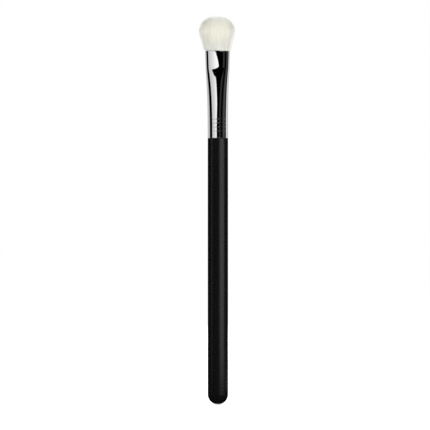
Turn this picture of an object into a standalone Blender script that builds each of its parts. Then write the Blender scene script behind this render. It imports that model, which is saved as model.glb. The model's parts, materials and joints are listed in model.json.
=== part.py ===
# A flat shader makeup brush: a turned wooden handle, a crimped metal ferrule pressed to an oval
# mouth, and a domed tuft of bristles tied with thread and set in glue inside the ferrule.
# Metres, +Z up. The round end of the handle touches the origin and the wide face looks along -Y.

import math
import random

import bmesh
import bpy

# Clearance between neighbouring pieces, and the distance that merges points on the turning axis
fit_gap = 0.0003
weld_distance = 0.00001

# Handle, from its round end up to the shoulder that the ferrule sits on
handle_diameter = 0.00812
handle_length = 0.1064
shoulder_chamfer = 0.0002
tenon_length = 0.0125
tenon_chamfer = 0.0006

# Ferrule: a round tube, pressed to an oval between its kink and its mouth
ferrule_length = 0.035
ferrule_diameter = 0.0082
ferrule_wall = 0.00035
rim_chamfer = 0.0001
kink_width = 0.0095
kink_depth = 0.006
mouth_width = 0.0101
mouth_depth = 0.006
pressed_length = 0.0072
transition_power = 2.6

# Crimp rings that lock the ferrule to the tenon
crimp_count = 4
first_crimp_height = 0.00276
crimp_pitch = 0.0016
crimp_width = 0.0007
crimp_depth = 0.00015

# Tuft, above the mouth
tuft_length = 0.0137
tuft_width = 0.0142
tuft_depth = 0.0078
widest_height = 0.0078
strand_thickness = 0.00025
strand_spacing = 0.00033
tip_scatter = 0.0003

# Root block of glued hair below the mouth, its thread and the glue poured behind it
root_recess = 0.003
root_length = 0.0085
thread_diameter = 0.0003
thread_turns = 6
thread_height = 0.002
glue_length = 0.004
meniscus_depth = 0.0008

# Strands bend at a share of the widest height, and their thickness there and at the tip is a share
bend_share = 0.55
thickness_shares = (1.0, 1.0, 1.4, 0.7)

# Facets: sides of every round piece, steps in the round end, steps up the pressed part of the tube
sides = 36
end_steps = 9
outer_steps = 9
inner_steps = 4
band_steps = 2


def clear_scene():
    for obj in list(bpy.data.objects):
        bpy.data.objects.remove(obj)


def make_collection(name):
    collection = bpy.data.collections.new(name)
    bpy.context.scene.collection.children.link(collection)
    return collection


def make_material(name, color, roughness, metallic):
    material = bpy.data.materials.new(name)
    material.use_nodes = True
    shader = material.node_tree.nodes["Principled BSDF"]
    shader.inputs["Base Color"].default_value = (*color, 1.0)
    shader.inputs["Roughness"].default_value = roughness
    shader.inputs["Metallic"].default_value = metallic
    material.diffuse_color = (*color, 1.0)
    return material


def add_object(name, mesh, material, collection):
    mesh.name = name
    mesh.materials.clear()
    mesh.materials.append(material)
    mesh.shade_smooth()
    mesh.set_sharp_from_angle(angle=math.radians(35))
    obj = bpy.data.objects.new(name, mesh)
    collection.objects.link(obj)
    return obj


def turn(profile, closed):
    # Spins a profile of (radius, height) points round Z; it runs down its outer side
    mesh = bpy.data.meshes.new("profile")
    count = len(profile)
    edges = [(i, i + 1) for i in range(count - 1)]
    if closed:
        edges.append((count - 1, 0))
    mesh.from_pydata([(radius, 0, height) for radius, height in profile], edges, [])
    lathe = bpy.data.objects.new("profile", mesh)
    bpy.context.scene.collection.objects.link(lathe)
    screw = lathe.modifiers.new("turn", "SCREW")
    screw.steps = sides
    screw.render_steps = sides
    screw.use_merge_vertices = True
    screw.merge_threshold = weld_distance
    evaluated = lathe.evaluated_get(bpy.context.evaluated_depsgraph_get())
    turned = bpy.data.meshes.new_from_object(evaluated)
    bpy.data.objects.remove(lathe)
    return turned


def mix(low, high, share):
    return low + (high - low) * share


def ferrule_section(height):
    # Half width and half depth of the outside of the tube, at a height above its lower edge
    radius = ferrule_diameter / 2
    kink_height = ferrule_length - pressed_length
    if height < kink_height:
        share = (max(height, 0) / kink_height) ** transition_power
        return mix(radius, kink_width / 2, share), mix(radius, kink_depth / 2, share)
    share = (height - kink_height) / pressed_length
    return mix(kink_width, mouth_width, share) / 2, mix(kink_depth, mouth_depth, share) / 2


def press(mesh):
    # Gives a turned mesh the oval sections that the ferrule has at the same heights
    for vertex in mesh.vertices:
        radius = math.hypot(vertex.co.x, vertex.co.y)
        if radius < weld_distance:
            continue
        half_width, half_depth = ferrule_section(vertex.co.z - handle_length)
        inset = radius - ferrule_diameter / 2
        # Near the axis the section shrinks in proportion, so that caps keep their round centre
        share = min(radius / (ferrule_diameter / 2 - ferrule_wall - fit_gap), 1)
        shrink_width = mix(half_width / (ferrule_diameter / 2) * radius, half_width + inset, share)
        shrink_depth = mix(half_depth / (ferrule_diameter / 2) * radius, half_depth + inset, share)
        vertex.co.x *= shrink_width / radius
        vertex.co.y *= shrink_depth / radius


def crimp_heights():
    # Above the ferrule's lower edge, from the top one down
    return [first_crimp_height + i * crimp_pitch for i in reversed(range(crimp_count))]


def crimped_line(radius, width, depth):
    # Points down a crimped surface, as (radius, height above the ferrule's lower edge)
    points = []
    for middle in crimp_heights():
        points += [(radius, middle + width / 2), (radius - depth, middle), (radius, middle - width / 2)]
    return points


def lifted(points, base):
    return [(radius, base + height) for radius, height in points]


def handle_profile():
    radius = handle_diameter / 2
    tenon_radius = ferrule_diameter / 2 - ferrule_wall - fit_gap
    top = handle_length + tenon_length
    shoulder = handle_length - fit_gap / 2
    points = [(0, top), (tenon_radius - tenon_chamfer, top), (tenon_radius, top - tenon_chamfer)]
    points += lifted(crimped_line(tenon_radius, crimp_width, crimp_depth), handle_length)
    points += [(tenon_radius, shoulder), (radius - shoulder_chamfer, shoulder)]
    points += [(radius, shoulder - shoulder_chamfer)]
    for step in range(end_steps):
        angle = math.pi / 2 * step / end_steps
        points.append((radius * math.cos(angle), radius - radius * math.sin(angle)))
    points.append((0, 0))
    return points


def ferrule_profile():
    # Down the outside from the mouth, then up the inside
    outer = ferrule_diameter / 2
    inner = outer - ferrule_wall
    bottom = fit_gap / 2
    outside = [(outer - rim_chamfer, ferrule_length)]
    outside += [(outer, height) for height in pressed_heights(outer_steps)]
    outside += crimped_line(outer, crimp_width, crimp_depth)
    outside += [(outer, bottom + rim_chamfer), (outer - rim_chamfer, bottom)]
    inside = [(inner, ferrule_length)]
    inside += [(inner, height) for height in pressed_heights(inner_steps)]
    inside += crimped_line(inner, crimp_width, crimp_depth)
    inside.append((inner, bottom))
    return lifted(outside + inside[::-1], handle_length)


def pressed_heights(steps):
    # From just under the mouth down to just above the crimps, closer together towards the kink
    kink_height = ferrule_length - pressed_length
    lowest = crimp_heights()[0] + crimp_width
    band = [mix(ferrule_length - rim_chamfer, kink_height, i / band_steps) for i in range(band_steps)]
    return band + [mix(lowest, kink_height, math.sqrt(1 - i / steps)) for i in range(steps)]


def root_profile():
    # The block that the hair roots make in the ferrule, with a neck for the thread
    radius = ferrule_diameter / 2 - ferrule_wall - fit_gap
    neck_radius = radius - thread_diameter - fit_gap
    neck_bottom = thread_height
    neck_top = thread_height + thread_turns * thread_diameter + 2 * fit_gap
    points = [(0, root_length), (radius, root_length), (radius, neck_top), (neck_radius, neck_top)]
    points += [(neck_radius, neck_bottom), (radius, neck_bottom), (radius, 0), (0, 0)]
    return lifted(points, root_bottom())


def thread_profile():
    # One band of turns that lie side by side, round outside and flat where they grip the hair
    outer = ferrule_diameter / 2 - ferrule_wall - fit_gap
    inner = outer - thread_diameter
    waist = outer - thread_diameter / 3
    low = thread_height + fit_gap
    points = []
    for turn_number in reversed(range(thread_turns)):
        middle = low + (turn_number + 1 / 2) * thread_diameter
        points += [(waist, middle + thread_diameter / 2), (outer, middle)]
    points += [(waist, low), (inner, low), (inner, low + thread_turns * thread_diameter)]
    return lifted(points, root_bottom())


def glue_profile():
    radius = ferrule_diameter / 2 - ferrule_wall - fit_gap
    points = [(0, glue_length), (radius, glue_length), (radius, 0)]
    points += [(radius / 2, meniscus_depth * 3 / 4), (0, meniscus_depth)]
    return lifted(points, root_bottom() - fit_gap - glue_length)


def mouth():
    return handle_length + ferrule_length


def root_bottom():
    return mouth() - root_recess - root_length


def hollow_section(height):
    # Half width and half depth of what the hair may fill inside the tube, at a height in the part
    half_width, half_depth = ferrule_section(height - handle_length)
    return half_width - ferrule_wall - fit_gap, half_depth - ferrule_wall - fit_gap


def strand_reach(height):
    # How far from the axis the middle of the outermost strand lies, across the width and the depth
    half_width, half_depth = hollow_section(mouth() + height)
    return half_width - strand_thickness / 2, half_depth - strand_thickness / 2


def strand_places():
    # Where strands stand, as shares of the reach, on a staggered grid whose ends meet the reach
    reach_width, reach_depth = strand_reach(-root_recess)
    columns = round(reach_width / strand_spacing)
    rows = round(reach_depth / (strand_spacing * math.sqrt(3) / 2))
    places = []
    for row in range(-rows, rows + 1):
        for column in range(-columns, columns + 1):
            across = (column + row % 2 / 2) / columns
            along = row / rows
            if math.hypot(across, along) <= 1:
                places.append((across, along))
    return places


def strand_path(across, along, scatter):
    # Up one strand: in the root block, at the mouth, at its bend and at its tip under the dome
    crown = tuft_length - tip_scatter - widest_height
    tip_height = widest_height + crown * math.sqrt(1 - across ** 2 - along ** 2) + scatter
    mouth_reach = strand_reach(0)
    tip_reach = (tuft_width - strand_thickness) / 2, (tuft_depth - strand_thickness) / 2
    spread = math.sin(math.pi / 2 * bend_share)
    bend_reach = [mix(low, high, spread) for low, high in zip(mouth_reach, tip_reach)]
    heights = (-root_recess - strand_thickness, 0, widest_height * bend_share, tip_height)
    reaches = (strand_reach(-root_recess), mouth_reach, bend_reach, tip_reach)
    return [
        (across * reach[0], along * reach[1], mouth() + height)
        for reach, height in zip(reaches, heights)
    ]


def strand_mesh():
    # Three-sided strands, whose shares of the reach stay the same all the way up, so none cross
    bm = bmesh.new()
    scatter = random.Random(7)
    for across, along in strand_places():
        path = strand_path(across, along, scatter.uniform(-tip_scatter, tip_scatter))
        rings = []
        for (x, y, z), share in zip(path, thickness_shares):
            radius = strand_thickness / 2 * share
            turns = [math.tau * (corner + 1 / 4) / 3 for corner in range(3)]
            ring = [bm.verts.new((x + radius * math.cos(a), y + radius * math.sin(a), z)) for a in turns]
            rings.append(ring)
        bm.faces.new(rings[0][::-1])
        bm.faces.new(rings[-1])
        for lower, upper in zip(rings, rings[1:]):
            for i in range(3):
                j = (i + 1) % 3
                bm.faces.new((lower[i], lower[j], upper[j], upper[i]))
    mesh = bpy.data.meshes.new("strands")
    bm.to_mesh(mesh)
    bm.free()
    return mesh


def make_handle(collection):
    material = make_material("satin_black_lacquer", (0.008, 0.008, 0.009), 0.42, 0.0)
    return add_object("handle", turn(handle_profile(), False), material, collection)


def make_ferrule(collection):
    material = make_material("polished_chrome", (0.82, 0.82, 0.83), 0.08, 1.0)
    mesh = turn(ferrule_profile(), True)
    press(mesh)
    return add_object("ferrule", mesh, material, collection)


def make_tuft(collection, cutters):
    material = make_material("cream_bristle", (0.80, 0.76, 0.64), 0.6, 0.0)
    mesh = turn(root_profile(), False)
    press(mesh)
    tuft = add_object("bristle_tuft", mesh, material, collection)
    strands = add_object("strands", strand_mesh(), material, cutters)
    strands.hide_render = True
    strands.display_type = "WIRE"
    union = tuft.modifiers.new("strands", "BOOLEAN")
    union.operation = "UNION"
    union.object = strands
    return tuft


def make_thread(collection):
    material = make_material("waxed_thread", (0.62, 0.58, 0.48), 0.8, 0.0)
    mesh = turn(thread_profile(), True)
    press(mesh)
    return add_object("binding_thread", mesh, material, collection)


def make_glue(collection):
    material = make_material("amber_epoxy", (0.55, 0.38, 0.16), 0.25, 0.0)
    mesh = turn(glue_profile(), False)
    press(mesh)
    return add_object("glue_plug", mesh, material, collection)


def main():
    clear_scene()
    parts = make_collection("makeup_brush")
    cutters = make_collection("cutters")
    make_handle(parts)
    make_ferrule(parts)
    make_tuft(parts, cutters)
    make_thread(parts)
    make_glue(parts)
    print("strands:", len(strand_places()))


main()
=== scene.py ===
import json
import math

import bmesh
import bpy
import numpy as np
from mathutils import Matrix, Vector

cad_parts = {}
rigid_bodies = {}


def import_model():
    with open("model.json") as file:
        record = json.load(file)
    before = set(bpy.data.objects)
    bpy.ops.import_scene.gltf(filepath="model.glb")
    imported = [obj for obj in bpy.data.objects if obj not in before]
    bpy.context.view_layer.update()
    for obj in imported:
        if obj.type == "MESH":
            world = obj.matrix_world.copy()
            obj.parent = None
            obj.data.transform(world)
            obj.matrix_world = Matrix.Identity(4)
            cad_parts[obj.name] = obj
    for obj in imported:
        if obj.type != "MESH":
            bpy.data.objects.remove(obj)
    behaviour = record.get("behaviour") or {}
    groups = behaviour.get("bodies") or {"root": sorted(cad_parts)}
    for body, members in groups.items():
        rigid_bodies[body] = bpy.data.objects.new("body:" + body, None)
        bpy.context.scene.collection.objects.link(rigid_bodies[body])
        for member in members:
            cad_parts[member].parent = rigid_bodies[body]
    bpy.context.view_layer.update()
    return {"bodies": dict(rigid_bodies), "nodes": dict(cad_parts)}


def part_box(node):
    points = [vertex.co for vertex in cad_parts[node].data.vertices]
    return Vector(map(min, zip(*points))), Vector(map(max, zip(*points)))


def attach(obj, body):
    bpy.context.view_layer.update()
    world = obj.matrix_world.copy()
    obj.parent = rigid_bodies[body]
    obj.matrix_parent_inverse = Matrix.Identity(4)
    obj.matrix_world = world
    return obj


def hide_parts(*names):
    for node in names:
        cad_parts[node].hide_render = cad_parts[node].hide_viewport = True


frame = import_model()
scene = bpy.context.scene
body = next(iter(frame["bodies"]))
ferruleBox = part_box("ferrule")
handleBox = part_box("handle")
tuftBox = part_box("bristle_tuft")
mouthZ = ferruleBox[1][2]
ferruleZ = ferruleBox[0][2]
print("frame:", sorted(frame["nodes"]), "on", body)


def mix(low, high, share):
    return low + (high - low) * share


def newObject(name, mesh, material=None):
    made = bpy.data.objects.new(name, mesh)
    scene.collection.objects.link(made)
    if material:
        mesh.materials.clear()
        mesh.materials.append(material)
    return made


# Materials: a socket that adds its own Math nodes

class Wire:
    def __init__(self, tree, socket=None):
        self.tree = tree
        self.socket = socket

    def node(self, kind, settings=None, inputs=None, output=0):
        made = self.tree.nodes.new(kind)
        for name, value in (settings or {}).items():
            if name == "stops":
                ramp = made.color_ramp.elements
                while len(ramp) < len(value):
                    ramp.new(0.5)
                for stop, (place, color) in zip(ramp, value):
                    stop.position = place
                    stop.color = (*color, 1)
            else:
                setattr(made, name, value)
        for name, value in (inputs or {}).items():
            if isinstance(value, Wire):
                self.tree.links.new(value.socket, made.inputs[name])
            else:
                made.inputs[name].default_value = value
        return Wire(self.tree, made.outputs[output])

    def math(self, operation, first, second):
        return self.node("ShaderNodeMath", {"operation": operation}, {0: first, 1: second})

    def __add__(self, other):
        return self.math("ADD", self, other)

    def __sub__(self, other):
        return self.math("SUBTRACT", self, other)

    def __rsub__(self, other):
        return self.math("SUBTRACT", other, self)

    def __mul__(self, other):
        return self.math("MULTIPLY", self, other)

    def __truediv__(self, other):
        return self.math("DIVIDE", self, other)

    def __pow__(self, other):
        return self.math("POWER", self, other)

    __radd__ = __add__
    __rmul__ = __mul__

    def clamped(self):
        return self.node("ShaderNodeClamp", None, {"Value": self})

    def blend(self, low, high):
        # Counted from 0, a Mix node's two colours go in at 6 and 7, and the mixed one comes out at 2
        low, high = (color if isinstance(color, Wire) else (*color, 1) for color in (low, high))
        return self.node("ShaderNodeMix", {"data_type": "RGBA"}, {0: self, 6: low, 7: high}, 2)


def newMaterial(name, **constants):
    # Returns the material, its Principled shader and a wire to build from
    made = bpy.data.materials.new(name)
    made.use_nodes = True
    shader = made.node_tree.nodes["Principled BSDF"]
    for socket, value in constants.items():
        shader.inputs[socket.replace("_", " ")].default_value = value
    return made, shader, Wire(made.node_tree)


def feed(wire, shader, **links):
    for socket, value in links.items():
        wire.tree.links.new(value.socket, shader.inputs[socket.replace("_", " ")])


def placed(wire, scale=(1, 1, 1)):
    place = wire.node("ShaderNodeTexCoord", output="Object")
    return wire.node("ShaderNodeMapping", None, {"Vector": place, "Scale": scale})


def noise(wire, vector, scale, detail=2.0):
    return wire.node("ShaderNodeTexNoise", None, {"Vector": vector, "Scale": scale, "Detail": detail})


def bump(wire, height, distance, strength):
    sockets = {"Height": height, "Distance": distance, "Strength": strength}
    return wire.node("ShaderNodeBump", None, sockets)


# Lengths are in metres, here and below
chrome = {
    "color": (0.93, 0.93, 0.94),
    "roughness": 0.02,
    "smear": 0.03,
    "scratchScale": 9000,
    "scratchStretch": 0.02,
    "cloudScale": 300,
}
lacquer = {
    "color": (0.002, 0.002, 0.0022),
    "dust": (0.005, 0.005, 0.0055),
    "roughness": 0.27,
    "smear": 0.06,
    "specular": 0.5,
    "grainScale": 2500,
    "grainStretch": 0.04,
    "dustScale": 1800,
    "dustDetail": 4,
    "dustAmount": 1.6,
    "waveScale": 900,
    "waveDepth": 0.00002,
    "waveStrength": 0.08,
}
# Colours of the hair at stops up the tuft, from the mouth to the top: its cream tone with painted light and
# shade, lighter right at the mouth, darker just above it, lightest part way up and darker towards the crown
bristle = {
    "stops": (0.0, 0.17, 0.3, 0.45, 0.68, 0.84, 1.0),
    "colorsWithPaintedShade": (
        (0.90, 0.89, 0.82),
        (0.86, 0.85, 0.745),
        (0.91, 0.895, 0.755),
        (0.96, 0.945, 0.79),
        (0.95, 0.935, 0.785),
        (0.92, 0.91, 0.79),
        (0.90, 0.90, 0.85),
    ),
    "pale": (1.0, 0.99, 0.93),
    "deep": (0.80, 0.78, 0.68),
    "streak": 2.4,
    "streakScale": 2300,
    "streakStretch": 0.06,
    "streakDetail": 1.0,
    "roughness": 0.55,
    "specular": 0.3,
    "paintedDepthShade": 0.97,
    "through": 0.4,
    "throughLength": 0.0006,
    "throughColor": (1.0, 0.97, 0.85),
}
# Painted shade on the sides of the hair: a dark grey low at the mouth, and a paler grey from 1 / climb of
# the way up. It is at its strongest at the reach to either side, which grows by the spread on the way up.
paintedSideShade = {
    "low": (0.76, 0.755, 0.72),
    "high": (0.95, 0.945, 0.895),
    "climb": 1.7,
    "reach": 0.0056,
    "spread": 0.00175,
    "power": 6,
}
thread = {
    "pale": (0.74, 0.70, 0.60),
    "deep": (0.50, 0.46, 0.36),
    "roughness": 0.75,
    "twistScale": 6000,
    "twistStretch": 4,
    "twistDepth": 0.00005,
    "twistStrength": 0.6,
}
epoxy = {
    "pale": (0.66, 0.48, 0.22),
    "deep": (0.42, 0.26, 0.09),
    "roughness": 0.2,
    "smear": 0.15,
    "coat": 0.6,
    "cloudScale": 900,
    "cloudDetail": 3,
}


def chromeMaterial():
    made, shader, wire = newMaterial("polishedChrome", Metallic=1.0, Base_Color=(*chrome["color"], 1))
    scratches = noise(wire, placed(wire, (1, 1, chrome["scratchStretch"])), chrome["scratchScale"])
    clouds = noise(wire, placed(wire), chrome["cloudScale"])
    feed(wire, shader, Roughness=chrome["roughness"] + chrome["smear"] * clouds * scratches)
    return made


def lacquerMaterial():
    made, shader, wire = newMaterial("satinBlackLacquer", Specular_IOR_Level=lacquer["specular"])
    place = placed(wire)
    grain = noise(wire, placed(wire, (1, 1, lacquer["grainStretch"])), lacquer["grainScale"])
    dust = noise(wire, place, lacquer["dustScale"], lacquer["dustDetail"])
    color = (dust * grain * lacquer["dustAmount"]).clamped().blend(lacquer["color"], lacquer["dust"])
    smoothest = lacquer["roughness"] - lacquer["smear"] / 2
    feed(wire, shader, Base_Color=color, Roughness=smoothest + lacquer["smear"] * dust)
    wave = noise(wire, place, lacquer["waveScale"])
    feed(wire, shader, Normal=bump(wire, wave, lacquer["waveDepth"], lacquer["waveStrength"]))
    return made


def bristleMaterial(name, shade):
    # shade: 1 for the hairs, and less for the core, whose colour is darkened as painted shade for the
    # depths that show between them
    made, shader, wire = newMaterial(
        name,
        Roughness=bristle["roughness"],
        Specular_IOR_Level=bristle["specular"],
        Subsurface_Weight=bristle["through"],
        Subsurface_Radius=bristle["throughColor"],
        Subsurface_Scale=bristle["throughLength"],
    )
    place = wire.node("ShaderNodeTexCoord", output="Object")
    height = wire.node("ShaderNodeSeparateXYZ", None, {"Vector": place}, "Z")
    rise = ((height - mouthZ) / (tuftBox[1][2] - mouthZ)).clamped()
    colorsWithPaintedShade = [tuple(shade * part for part in color) for color in bristle["colorsWithPaintedShade"]]
    stops = list(zip(bristle["stops"], colorsWithPaintedShade))
    # The cream tone up the tuft, with painted light and shade: lightest part way up, darker just over the
    # mouth and at the crown
    color = wire.node("ShaderNodeValToRGB", {"stops": stops}, {"Fac": rise})
    # Fine upright streaks, pale and deep, as the hair lies in locks
    stretched = placed(wire, (1, 1, bristle["streakStretch"]))
    locks = noise(wire, stretched, bristle["streakScale"], bristle["streakDetail"])
    streak = (locks - 0.5) * bristle["streak"]
    color = streak.clamped().blend(color, bristle["pale"])
    color = (streak * -1.0).clamped().blend(color, bristle["deep"])
    # Painted shade: greyer towards the sides, darkest low down by the mouth
    climb = (rise * paintedSideShade["climb"]).clamped()
    x = wire.node("ShaderNodeSeparateXYZ", None, {"Vector": place}, "X") - bristles["lean"]
    side = wire.math("ABSOLUTE", x, 0.0) / (climb * paintedSideShade["spread"] + paintedSideShade["reach"])
    color = (side ** paintedSideShade["power"]).clamped().blend(color, climb.blend(paintedSideShade["low"], paintedSideShade["high"]))
    feed(wire, shader, Base_Color=color)
    return made


def threadMaterial():
    made, shader, wire = newMaterial("waxedThread", Roughness=thread["roughness"])
    twist = noise(wire, placed(wire, (1, 1, thread["twistStretch"])), thread["twistScale"])
    feed(wire, shader, Base_Color=twist.blend(thread["deep"], thread["pale"]))
    feed(wire, shader, Normal=bump(wire, twist, thread["twistDepth"], thread["twistStrength"]))
    return made


def epoxyMaterial():
    made, shader, wire = newMaterial("amberEpoxy", Coat_Weight=epoxy["coat"])
    cloud = noise(wire, placed(wire), epoxy["cloudScale"], epoxy["cloudDetail"])
    feed(wire, shader, Base_Color=cloud.blend(epoxy["deep"], epoxy["pale"]))
    feed(wire, shader, Roughness=epoxy["roughness"] + epoxy["smear"] * cloud)
    return made


# Turned pieces

mergeDistance = 0.000001


def turned(name, profile, closed, sides, material, sharp=40):
    # Spins (radius, height) points round Z. Edges that turn by more than the sharp degrees stay sharp.
    bm = bmesh.new()
    line = [bm.verts.new((radius, 0, height)) for radius, height in profile]
    pairs = list(zip(line, line[1:]))
    if closed:
        pairs.append((line[-1], line[0]))
    edges = [bm.edges.new(pair) for pair in pairs]
    bmesh.ops.spin(
        bm,
        geom=line + edges,
        cent=(0, 0, 0),
        axis=(0, 0, 1),
        angle=math.tau,
        steps=sides,
        use_merge=True,
    )
    bmesh.ops.remove_doubles(bm, verts=bm.verts, dist=mergeDistance)
    bmesh.ops.recalc_face_normals(bm, faces=bm.faces)
    mesh = bpy.data.meshes.new(name)
    bm.to_mesh(mesh)
    bm.free()
    mesh.shade_smooth()
    mesh.set_sharp_from_angle(angle=math.radians(sharp))
    return newObject(name, mesh, material)


def arc(center, radius, start, end, steps):
    # Points of an arc in the profile plane, angles in degrees from +radius towards +height
    points = []
    for step in range(steps + 1):
        angle = math.radians(mix(start, end, step / steps))
        points.append((center[0] + radius * math.cos(angle), center[1] + radius * math.sin(angle)))
    return points


handle = {
    "sides": 128,
    "rows": 12,
    "endSteps": 28,
    "shoulder": 0.00025,
    "shoulderSteps": 6,
    "shoulderGap": 0.00002,
    "tenonInset": 0.00065,
    "tenonChamfer": 0.0006,
}


def makeHandle(material):
    # Its profile runs from the top of the tenon, over the shoulder and down to the round end
    radius = handleBox[1][0]
    top = handleBox[1][2]
    shoulder = ferruleZ - handle["shoulderGap"]
    edge = handle["shoulder"]
    tenon = ferruleBox[1][1] - handle["tenonInset"]
    chamfer = handle["tenonChamfer"]
    rows = handle["rows"]
    points = [(0, top), (tenon - chamfer, top), (tenon, top - chamfer), (tenon, shoulder)]
    points += arc((radius - edge, shoulder - edge), edge, 90, 0, handle["shoulderSteps"])
    points += [(radius, mix(radius, shoulder - edge, 1 - row / rows)) for row in range(1, rows)]
    points += arc((0, radius), radius, 0, -90, handle["endSteps"])
    made = turned("handle_lacquered", points, False, handle["sides"], material)
    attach(made, body)
    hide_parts("handle")
    return made


# Ferrule: a crimped tube whose mouth is pressed to an oval behind an arched crease

ferrule = {
    "sides": 160,
    "wall": 0.00035,
    "kinkWidth": 0.0095,
    "kinkDepth": 0.00584,
    "pressedLength": 0.00715,
    "pressPower": 2.95,
    "squareness": 2.45,
    "hollow": (-0.030, 0.066),  # slope of the wide faces, at the crease and at the mouth
    "archDrop": 0.00027,  # of the crease, at either side
    "archStart": 0.44,
    "creaseStep": {"rise": 0.00044, "across": -0.0006, "width": 0.0018},
    "lipFlare": 0.00003,
    "lipLength": 0.0004,
    "edge": 0.00008,
    "edgeSteps": 4,
    "crimps": 4,
    "firstCrimp": 0.00276,
    "crimpPitch": 0.0016,
    "crimpWidth": 0.0003,
    "crimpDepth": 0.00002,
    "lean": -0.00015,  # of the mouth's middle
}
ferruleLength = mouthZ - ferruleZ
kinkHeight = ferruleLength - ferrule["pressedLength"]
baseRadius = ferruleBox[1][1]
# Where the tube has rings: shares of its edge's radius from either end, shares of half a crimp's width from
# a crimp's middle, and counts for the taper, the pressed stretch and the lip. The inside has fewer.
rings = {
    "foot": (1.3, 2, 4, 10),
    "mouth": (3, 2, 1.3),
    "crimp": (-1.5, -1.125, -1, -0.75, -0.5, -0.25, 0, 0.25, 0.5, 0.75, 1, 1.125, 1.5),
    "taper": 60,
    "taperPower": 1.7,
    "pressed": 14,
    "lip": 6,
    "insideEvery": 3,
}


def sectionAt(height):
    # Half width and half depth outside, at a height above the ferrule's lower edge
    if height < kinkHeight:
        share = (max(height, 0) / kinkHeight) ** ferrule["pressPower"]
        halfWidth = mix(baseRadius, ferrule["kinkWidth"] / 2, share)
        return halfWidth, mix(baseRadius, ferrule["kinkDepth"] / 2, share)
    above = height - kinkHeight
    share = above / ferrule["pressedLength"]
    flare = ferrule["lipFlare"] * max(1 - (ferruleLength - height) / ferrule["lipLength"], 0) ** 2
    low, high = ferrule["hollow"]
    halfWidth = mix(ferrule["kinkWidth"] / 2, ferruleBox[1][0] - ferrule["lipFlare"], share) + flare
    halfDepth = ferrule["kinkDepth"] / 2 + above * (low + (high - low) * share / 2) + flare
    return halfWidth, halfDepth


def squareAt(height):
    # The section's power: 2 is an ellipse, and the pressed faces are a little flatter
    return mix(2, ferrule["squareness"], min(max(height, 0) / kinkHeight, 1) ** ferrule["pressPower"])


def archFade(height):
    # How far the crease's arch is felt at a height: all at the crease, none at the mouth or the crimps
    top = min(max((ferruleLength - height) / ferrule["pressedLength"], 0), 1)
    start = kinkHeight * ferrule["archStart"]
    bottom = min(max((height - start) / (kinkHeight - start), 0), 1)
    return top * bottom ** 2 * (3 - 2 * bottom)


def crimpHeights():
    return [ferrule["firstCrimp"] + index * ferrule["crimpPitch"] for index in range(ferrule["crimps"])]


def crimpDip(height):
    # How deep the crimps press the tube in at a height
    dip = 0
    for middle in crimpHeights():
        away = abs(height - middle) / (ferrule["crimpWidth"] / 2)
        if away < 1:
            dip += ferrule["crimpDepth"] * (0.5 + 0.5 * math.cos(math.pi * away))
    return dip


def ringHeights():
    # From the lower edge to the mouth: close together in the crimps, the crease and the lip
    lipLength = ferrule["lipLength"]
    mouth = [ferruleLength - ferrule["edge"] * share for share in rings["mouth"]]
    heights = [ferrule["edge"] * share for share in rings["foot"]]
    for middle in crimpHeights():
        heights += [middle + ferrule["crimpWidth"] / 2 * share for share in rings["crimp"]]
    lowest = heights[-1]
    for ring in range(1, rings["taper"]):
        heights.append(mix(lowest, kinkHeight, 1 - (1 - ring / rings["taper"]) ** rings["taperPower"]))
    for ring in range(rings["pressed"]):
        heights.append(mix(kinkHeight, ferruleLength - lipLength, ring / rings["pressed"]))
    for ring in range(rings["lip"]):
        heights.append(ferruleLength - lipLength * (1 - ring / rings["lip"]))
    return [height for height in heights if height < mouth[0]] + mouth


def pressed(x, y, height):
    # Where a point of the round tube goes: the section pressed, the crease arched and the mouth leaning
    radius = math.hypot(x, y)
    power = 2 / squareAt(height)
    across = math.copysign(abs(x / radius) ** power, x)
    along = math.copysign(abs(y / radius) ** power, y)
    halfWidth, halfDepth = sectionAt(min(height, ferruleLength))
    inset = baseRadius - radius
    step = ferrule["creaseStep"]
    rise = step["rise"] * math.tanh((across * halfWidth - step["across"]) / step["width"])
    drop = (ferrule["archDrop"] * across ** 2 - rise) * archFade(height)
    shift = ferrule["lean"] * height / ferruleLength
    x, y = across * (halfWidth - inset) + shift, along * (halfDepth - inset)
    return Vector((x, y, ferruleZ + height - drop))


def makeFerrule(material):
    edge, steps = ferrule["edge"], ferrule["edgeSteps"]
    inner = baseRadius - ferrule["wall"]
    heights = ringHeights()
    outside = [(baseRadius - crimpDip(height), height) for height in heights]
    inside = [(inner - crimpDip(height), height) for height in heights[:: rings["insideEvery"]]]
    foot = arc((baseRadius - edge, edge), edge, -90, 0, steps)
    lip = arc((baseRadius - edge, ferruleLength - edge), edge, 0, 90, steps)
    lip += arc((inner + edge, ferruleLength - edge), edge, 90, 180, steps)
    profile = foot + outside + lip + inside[::-1] + [(inner, 0)]
    made = turned("ferrule_chromed", profile, True, ferrule["sides"], material)
    for vertex in made.data.vertices:
        vertex.co = pressed(*vertex.co)
    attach(made, body)
    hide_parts("ferrule")
    return made


# Bristles: strands fan out of the mouth to a rounded dome, over a solid core of the same hair, its colour
# darkened by painted shade

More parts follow.
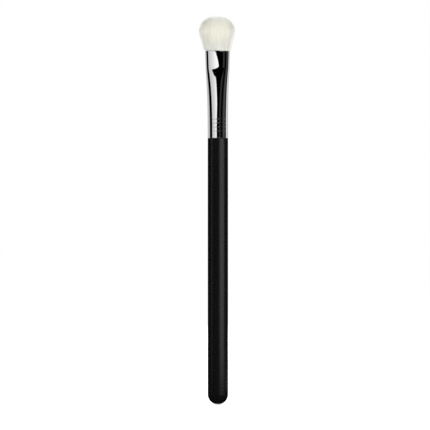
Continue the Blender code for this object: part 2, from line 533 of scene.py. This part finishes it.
bristles = {
    "count": 12500,
    "radius": 0.000034,
    "weld": 0.0000005,
    "shell": 0.62,  # 1 spreads the strands evenly, and less crowds them outwards
    "jitter": 0.02,
    "lowPoints": (-0.001, 0.0, 0.0003, 0.0011),  # heights over the mouth
    "highShares": (0.32, 0.56, 0.79, 1.0),  # of the height of the tip
    "thickness": (1.0, 1.0, 1.0, 1.0, 1.0, 0.95, 0.8, 0.35),  # of each point in turn
    "widest": 0.0081,
    "length": 0.0142,
    "halfWidth": 0.00735,
    "halfDepth": 0.0040,
    "bulge": 0.0009,  # how far the hair spreads just over the lip
    "bulgeLength": 0.00025,
    "ease": 1.15,
    "domePower": 1.98,
    "short": 0.0005,  # how far a tip may end under the dome
    "shortSpread": (-0.15, 0, 1),
    "edgeShort": 1.4,
    "edgePower": 6,
    "fuzz": 0.00005,
    "clumps": 900,
    "clumpPull": 0.06,
    "parting": {"across": 0.0021, "gap": 0.0001, "width": 0.0004, "drop": 0.0002},
    "lean": -0.00036,  # of the middle, where the hair is widest
    "leanLimit": 1.2,
    "seed": 11,
}
sectors = ("front", "right", "back", "left")
goldenTurn = math.pi * (3 - math.sqrt(5))


def reachAt(height, side):
    # Half width (side 0) or half depth (side 1) of the hair at heights above the mouth, as an array
    height = np.asarray(height, float)
    hollow = sectionAt(ferruleLength)[side] - ferrule["wall"] - bristles["radius"]
    rootDepth = -bristles["lowPoints"][0]
    low = sectionAt(ferruleLength - rootDepth)[side] - ferrule["wall"] - bristles["radius"]
    widest = bristles["halfWidth"] if side == 0 else bristles["halfDepth"]
    above = np.maximum(height, 0)
    bulge = bristles["bulge"] * (1 - np.exp(-above / bristles["bulgeLength"]))
    share = np.clip(above / bristles["widest"], 0, 1)
    flare = (widest - hollow - bristles["bulge"]) * (1 - (1 - share) ** bristles["ease"])
    inside = mix(hollow, low, np.clip(-height / rootDepth, 0, 1))
    return np.where(height < 0, inside, hollow + bulge + flare)


def domeAt(distance):
    # Height of the dome over the mouth, at a share of the reach
    crown = bristles["length"] - bristles["widest"]
    power = bristles["domePower"]
    return bristles["widest"] + crown * (1 - np.minimum(distance, 1) ** power) ** (1 / power)


def leanAt(height):
    # How far the middle of the hair stands to one side, at a height over the mouth
    grown = np.clip(height / bristles["widest"], 0, bristles["leanLimit"])
    return mix(ferrule["lean"], bristles["lean"], grown)


def strandPaths():
    # Points of every strand, as an array of (strand, point, xyz), and the angle at which each one stands
    random = np.random.default_rng(bristles["seed"])
    count = bristles["count"]
    order = np.arange(count)
    distance = ((order + 0.5) / count) ** (bristles["shell"] / 2)
    angle = order * goldenTurn + random.uniform(-bristles["jitter"], bristles["jitter"], count)
    across, along = distance * np.cos(angle), distance * np.sin(angle)
    # Clumps: every strand draws towards the nearest centre as it grows
    centers = random.uniform(-1, 1, (bristles["clumps"] * 2, 2))
    centers = centers[np.hypot(*centers.T) < 1][: bristles["clumps"]]
    away = np.hypot(across[:, None] - centers[:, 0], along[:, None] - centers[:, 1])
    nearest = centers[away.argmin(1)]
    short = bristles["short"] * (1 + bristles["edgeShort"] * distance ** bristles["edgePower"])
    tip = domeAt(distance) - random.triangular(*bristles["shortSpread"], count) * short
    # The hair opens a little along the parting, and ends lower to its right
    parting = bristles["parting"]
    beside = across * bristles["halfWidth"] - parting["across"]
    tip -= np.where(beside > 0, parting["drop"], 0)
    low = np.broadcast_to(bristles["lowPoints"], (count, len(bristles["lowPoints"])))
    heights = np.hstack([low, tip[:, None] * bristles["highShares"]])
    grown = np.clip(heights / tip[:, None], 0, 1)
    pull = bristles["clumpPull"] * grown ** 2
    u = across[:, None] + (nearest[:, :1] - across[:, None]) * pull
    v = along[:, None] + (nearest[:, 1:] - along[:, None]) * pull
    wander = random.normal(0, 1, (2, count, 1)) * bristles["fuzz"] * grown ** 2
    opening = np.sign(beside) * np.exp(-np.abs(beside) / parting["width"]) * parting["gap"]
    x = u * reachAt(heights, 0) + wander[0] + leanAt(heights) + opening[:, None] * grown ** 4
    y = v * reachAt(heights, 1) + wander[1]
    return np.stack([x, y, mouthZ + heights], axis=2), angle


# The whole tuft as one rounded form: an oval that domes over the bend and faces a little down under it
rounded = {
    "share": 0.6,
    "halfWidth": 0.0095,
    "halfDepth": 0.0040,
    "bend": 0.0075,
    "crown": 0.0067,
    "undercut": 5000,
}


def roundNormals(mesh):
    # Each hair faces partly where the whole tuft does there, because light spreads from hair to hair
    places = np.empty(len(mesh.vertices) * 3)
    own = np.empty(len(mesh.vertices) * 3)
    mesh.vertices.foreach_get("co", places)
    mesh.vertex_normals.foreach_get("vector", own)
    x, y, z = places.reshape(-1, 3).T
    x = (x - bristles["lean"]) / rounded["halfWidth"] ** 2
    y = y / rounded["halfDepth"] ** 2
    above = z - mouthZ - rounded["bend"]
    z = above * np.where(above > 0, 1 / rounded["crown"] ** 2, rounded["undercut"])
    outwards = np.stack([x, y, z], axis=1)
    outwards /= np.linalg.norm(outwards, axis=1, keepdims=True)
    both = mix(own.reshape(-1, 3), outwards, rounded["share"])
    mesh.normals_split_custom_set_from_vertices(both / np.linalg.norm(both, axis=1, keepdims=True))


def makeStrands(name, paths, material):
    # One curve of many splines, turned to a mesh: four-sided strands that thin towards the tip
    curve = bpy.data.curves.new(name, "CURVE")
    curve.dimensions = "3D"
    curve.bevel_depth = bristles["radius"]
    curve.bevel_resolution = 0
    curve.use_fill_caps = True
    for path in paths:
        spline = curve.splines.new("POLY")
        spline.points.add(len(path) - 1)
        spline.points.foreach_set("co", np.c_[path, np.ones(len(path))].ravel())
        spline.points.foreach_set("radius", bristles["thickness"])
    holder = newObject(name, curve)
    evaluated = holder.evaluated_get(bpy.context.evaluated_depsgraph_get())
    mesh = bpy.data.meshes.new_from_object(evaluated)
    bpy.data.objects.remove(holder)
    bpy.data.curves.remove(curve)
    bm = bmesh.new()
    bm.from_mesh(mesh)
    bmesh.ops.remove_doubles(bm, verts=bm.verts, dist=bristles["weld"])
    bm.to_mesh(mesh)
    bm.free()
    mesh.shade_smooth()
    roundNormals(mesh)
    made = newObject(name, mesh, material)
    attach(made, body)
    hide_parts("bristle_tuft")
    return made


core = {
    "share": 0.97,
    "inset": 0.0001,
    "shoulder": 0.0076,
    "top": 0.01375,
    "power": 1.94,
    "rings": 12,
    "steps": 26,
    "sides": 96,
    "sharp": 80,
}


def coreReach(height):
    # Half width and half depth of the room for the core, at a height over the mouth
    if height < 0:
        return [half - ferrule["wall"] - core["inset"] for half in sectionAt(ferruleLength + height)]
    return [float(reachAt(min(height, core["shoulder"]), side)) for side in (0, 1)]


def makeCore(material):
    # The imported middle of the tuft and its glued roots, as one closed form inside the strands
    bottom = tuftBox[0][2] - mouthZ
    shoulder, top = core["shoulder"], core["top"]
    heights = [*np.linspace(bottom, 0, core["rings"])[:-1], *np.linspace(0, shoulder, core["rings"])]
    profile = [(0, bottom)] + [(1, height) for height in heights]
    for step in range(1, core["steps"]):
        angle = math.pi / 2 * step / core["steps"]
        share = math.cos(angle) ** (2 / core["power"])
        lift = math.sin(angle) ** (2 / core["power"])
        profile.append((share, mix(shoulder, top, lift)))
    profile.append((0, top))
    made = turned("bristle_core", profile, False, core["sides"], material, core["sharp"])
    for vertex in made.data.vertices:
        x, y, height = vertex.co
        width, depth = (reach * core["share"] for reach in coreReach(height))
        vertex.co = (x * width + float(leanAt(max(height, 0))), y * depth, mouthZ + height)
    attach(made, body)
    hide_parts("bristle_tuft")
    return made


def makeBristles():
    material = bristleMaterial("creamBristle", 1)
    paths, angle = strandPaths()
    # Quarter turns round the tuft, the first centred on the front, which is -Y
    quarter = math.pi / 2
    sector = (np.floor((angle + quarter * 1.5) / quarter) % len(sectors)).astype(int)
    for index, side in enumerate(sectors):
        made = makeStrands("bristles_" + side, paths[sector == index], material)
        print("bristles", side, len(made.data.polygons), "faces")
    # The core's colour is darker: painted shade for the depths between the hairs
    makeCore(bristleMaterial("bristleCorePaintedShade", bristle["paintedDepthShade"]))


# Studio: the camera, floor and world, the lamps, and the cards that the chrome and the lacquer mirror

camera = {"azimuth": 7.7, "distance": 1.5, "frameWidth": 0.172, "across": -0.00116, "height": 0.0758}
floor = {"size": 12.0, "color": 0.82, "roughness": 0.9, "glow": 0.55}
world = {"seen": 1.0, "light": 0.55}
lamps = {
    "key": {"azimuth": 44, "distance": 1.1, "height": 0.36, "size": 0.6, "power": 10.9},
    "fill": {"azimuth": -64, "distance": 1.0, "height": 0.65, "size": 0.7, "power": 8.8},
    "back": {"azimuth": 180, "distance": 0.9, "height": 0.5, "size": 0.7, "power": 6.0},
}
# Lamps for the lacquer alone: they draw the two soft lines of light down the handle
handleLamps = {
    "handleStrip": {"azimuth": 46, "distance": 0.5, "low": 0.0, "high": 0.5, "width": 0.5, "glow": 1.1},
    "handleGlow": {"azimuth": -74, "distance": 0.5, "low": 0.0, "high": 0.5, "width": 0.1, "glow": 0.5},
    "handleBack": {"azimuth": 180, "distance": 0.6, "low": 0.0, "high": 0.5, "width": 0.16, "glow": 1.0},
}
# Cards for the chrome alone. Span: degrees round the brush, to the right of the camera's side. Line: the
# distance and height of both ends of the line that is turned through the span. Glow: how bright the card is
# at even steps along the span. What stands between the cards mirrors as black.
cards = {
    "blackWrap": {
        "span": (-180, 180),
        "line": ((1.04, 0.0), (1.04, 1.2)),
        "glow": (0.0004, 0.0004),
    },
    "blackTable": {
        "span": (-180, 180),
        "line": ((0.0018, 0.0003), (1.04, 0.0003)),
        "glow": (0.0004, 0.0004),
    },
    "paleLeft": {
        "span": (-178, -102),
        "line": ((1.0, 0.0), (1.0, 0.6)),
        "glow": (0.78, 0.55, 0.6, 0.45),
    },
    "paleLeftTable": {
        "span": (-178, -102),
        "line": ((0.0, 0.003), (1.0, 0.003)),
        "glow": (0.78, 0.55, 0.6, 0.45),
    },
    "softbox": {
        "span": (-65.5, -10),
        "line": ((1.0, 0.0), (1.0, 0.378)),
        "glow": (0.58, 0.64, 0.70, 0.86, 1.12),
    },
    "softboxTable": {
        "span": (-65.5, -20),
        "line": ((0.0, 0.002), (1.0, 0.002)),
        "glow": (0.6, 0.7, 0.75),
    },
    "streakNear": {
        "span": (12, 36),
        "line": ((1.0, 0.0), (1.0, 0.3)),
        "glow": (0.0005, 0.04, 0.02, 0.002),
    },
    "streakFar": {
        "span": (48, 90),
        "line": ((1.0, 0.0), (1.0, 0.6)),
        "glow": (0.003, 0.03, 0.08, 0.055, 0.004),
    },
    "dimTable": {
        "span": (-5, 101),
        "line": ((0.0, 0.002), (1.0, 0.002)),
        "glow": (0.2, 0.3, 0.3, 0.2),
    },
    "paleRight": {
        "span": (101, 178),
        "line": ((1.0, 0.0), (1.0, 0.6)),
        "glow": (0.2, 0.9, 0.5, 0.55, 1.0),
    },
    "paleRightTable": {
        "span": (101, 178),
        "line": ((0.0, 0.002), (1.0, 0.002)),
        "glow": (0.2, 0.9, 0.5, 0.55, 1.0),
    },
}
# The softbox's right side leans in by these degrees a metre, below and above where it is widest.
# Its top drops towards the right.
corner = {"widest": 0.22, "below": 45, "above": 68, "topDrop": 0.02}
# Pale strips of table for the lacquer alone, so that it has its light lines from above too
handleCards = {
    "handleTable": {
        "span": (15, 80),
        "line": ((0.12, 0.004), (0.7, 0.004)),
        "glow": (0.1, 0.8, 0.1),
    },
    "handleNearTable": {
        "span": (80, 130),
        "line": ((0.03, 0.004), (0.12, 0.004)),
        "glow": (0.1, 0.4, 0.1),
    },
    "handleBackTable": {
        "span": (170, 190),
        "line": ((0.05, 0.004), (0.7, 0.004)),
        "glow": (0.7, 0.7),
    },
}
cardGrid = {"rows": 12, "turns": 36}


def around(azimuth, distance, height=0.0):
    # A place round the brush, at degrees to the right of the camera's side
    turn = math.radians(azimuth + camera["azimuth"])
    return Vector((distance * math.sin(turn), -distance * math.cos(turn), height))


def makeCamera():
    data = bpy.data.cameras.new("camera")
    data.lens = data.sensor_width * camera["distance"] / camera["frameWidth"]
    made = bpy.data.objects.new("camera", data)
    made.location = around(0, camera["distance"], camera["height"]) + around(90, camera["across"])
    made.rotation_euler = (math.pi / 2, 0, math.radians(camera["azimuth"]))
    scene.collection.objects.link(made)
    scene.camera = made


def seenWhite(wire):
    # 1 for the rays that show the background: to the camera, in a mirror or through glass
    seen = wire.node("ShaderNodeLightPath", output="Is Camera Ray")
    for ray in ("Is Glossy Ray", "Is Transmission Ray"):
        seen = wire.math("MAXIMUM", seen, wire.node("ShaderNodeLightPath", output=ray))
    return seen


def makeWorld():
    made = bpy.data.worlds.new("studio")
    made.use_nodes = True
    wire = Wire(made.node_tree)
    seen = seenWhite(wire)
    background = made.node_tree.nodes["Background"]
    background.inputs["Color"].default_value = (1, 1, 1, 1)
    strength = world["light"] + (world["seen"] - world["light"]) * seen
    made.node_tree.links.new(strength.socket, background.inputs["Strength"])
    scene.world = made


def makeFloor():
    bm = bmesh.new()
    bmesh.ops.create_grid(bm, x_segments=1, y_segments=1, size=floor["size"] / 2)
    mesh = bpy.data.meshes.new("floor")
    bm.to_mesh(mesh)
    bm.free()
    made, shader, wire = newMaterial("paleFloor", Roughness=floor["roughness"], Specular_IOR_Level=0.0)
    shade = floor["color"]
    shader.inputs["Base Color"].default_value = (shade, shade, shade, 1)
    shader.inputs["Emission Color"].default_value = (1, 1, 1, 1)
    glow = floor["glow"] * seenWhite(wire)
    made.node_tree.links.new(glow.socket, shader.inputs["Emission Strength"])
    newObject("floor", mesh, made)


def makeLamp(name, place, width, height, power, target, receivers=None):
    data = bpy.data.lights.new(name, "AREA")
    data.shape = "RECTANGLE"
    data.size = width
    data.size_y = height
    data.energy = power
    made = bpy.data.objects.new(name, data)
    made.location = place
    made.rotation_euler = (target - Vector(place)).to_track_quat("-Z", "Y").to_euler()
    scene.collection.objects.link(made)
    if receivers:
        made.light_linking.receiver_collection = receivers
    else:
        made.visible_glossy = False


def makeLamps(onlyHandle):
    for name, lamp in lamps.items():
        place = around(lamp["azimuth"], lamp["distance"], lamp["height"])
        makeLamp(name, place, lamp["size"], lamp["size"], lamp["power"], Vector((0, 0, mouthZ)))
    for name, lamp in handleLamps.items():
        middle = (lamp["low"] + lamp["high"]) / 2
        tall = lamp["high"] - lamp["low"]
        power = lamp["glow"] * math.pi * lamp["width"] * tall
        place = around(lamp["azimuth"], lamp["distance"], middle)
        makeLamp(name, place, lamp["width"], tall, power, Vector((0, 0, middle)), onlyHandle)


def makeCard(name, card, receivers):
    # A curved panel that only mirrors see
    bm = bmesh.new()
    start, end = card["span"]
    (nearRadius, low), (farRadius, high) = card["line"]
    line = []
    for row in range(cardGrid["rows"] + 1):
        share = row / cardGrid["rows"]
        place = around(start, mix(nearRadius, farRadius, share), mix(low, high, share))
        line.append(bm.verts.new(place))
    edges = [bm.edges.new(pair) for pair in zip(line, line[1:])]
    bmesh.ops.spin(
        bm,
        geom=line + edges,
        cent=(0, 0, 0),
        axis=(0, 0, 1),
        angle=math.radians(end - start),
        steps=cardGrid["turns"],
    )
    mesh = bpy.data.meshes.new(name)
    bm.to_mesh(mesh)
    bm.free()
    made, shader, wire = newMaterial(name + "Glow", Specular_IOR_Level=0.0, Base_Color=(0, 0, 0, 1))
    place = wire.node("ShaderNodeTexCoord", output="Object")
    facing = wire.node(
        "ShaderNodeVectorRotate",
        {"rotation_type": "Z_AXIS"},
        {"Vector": place, "Angle": math.radians(-camera["azimuth"] - (start + end) / 2)},
    )
    x = wire.node("ShaderNodeSeparateXYZ", None, {"Vector": facing}, "X")
    y = wire.node("ShaderNodeSeparateXYZ", None, {"Vector": facing}, "Y")
    share = wire.math("ARCTAN2", x, y * -1.0) / math.radians(end - start) + 0.5
    glow = card["glow"]
    stops = [(index / (len(glow) - 1), (value, value, value)) for index, value in enumerate(glow)]
    color = wire.node("ShaderNodeValToRGB", {"stops": stops}, {"Fac": share})
    feed(wire, shader, Emission_Color=color)
    shader.inputs["Emission Strength"].default_value = 1
    panel = newObject(name, mesh, made)
    for ray in ("camera", "diffuse", "transmission", "volume_scatter", "shadow"):
        setattr(panel, "visible_" + ray, False)
    panel.light_linking.receiver_collection = receivers
    return panel


def cutCorner(panel, card):
    # Slants the right side and the top of the softbox
    start, end = card["span"]
    top = card["line"][1][1]
    for vertex in panel.data.vertices:
        x, y, z = vertex.co
        azimuth = math.degrees(math.atan2(x, -y)) - camera["azimuth"]
        share = (azimuth - start) / (end - start)
        lost = corner["below"] * max(corner["widest"] - z, 0)
        lost += corner["above"] * max(z - corner["widest"], 0)
        z *= 1 - share * corner["topDrop"] / top
        vertex.co = around(azimuth - share * lost, math.hypot(x, y), z)


def makeCards(onlyFerrule, onlyHandle):
    for name, card in handleCards.items():
        makeCard(name, card, onlyHandle)
    for name, card in cards.items():
        panel = makeCard(name, card, onlyFerrule)
        if name == "softbox":
            cutCorner(panel, card)


def collectionOf(name, piece):
    # A collection of one piece, for what lights that piece alone
    made = bpy.data.collections.new(name)
    made.objects.link(piece)
    return made


def main():
    makeCamera()
    makeWorld()
    makeFloor()
    print("studio: camera, world and floor")
    handleObject = makeHandle(lacquerMaterial())
    ferruleObject = makeFerrule(chromeMaterial())
    print("metal and wood: handle and ferrule")
    makeBristles()
    for node, material in (("binding_thread", threadMaterial()), ("glue_plug", epoxyMaterial())):
        for holder in frame["nodes"][node].material_slots:
            holder.material = material
    print("inside: thread and glue")
    onlyHandle = collectionOf("handleLight", handleObject)
    onlyFerrule = collectionOf("ferruleLight", ferruleObject)
    makeLamps(onlyHandle)
    makeCards(onlyFerrule, onlyHandle)
    print("light: lamps and cards")
    scene.view_settings.view_transform = "Standard"


main()
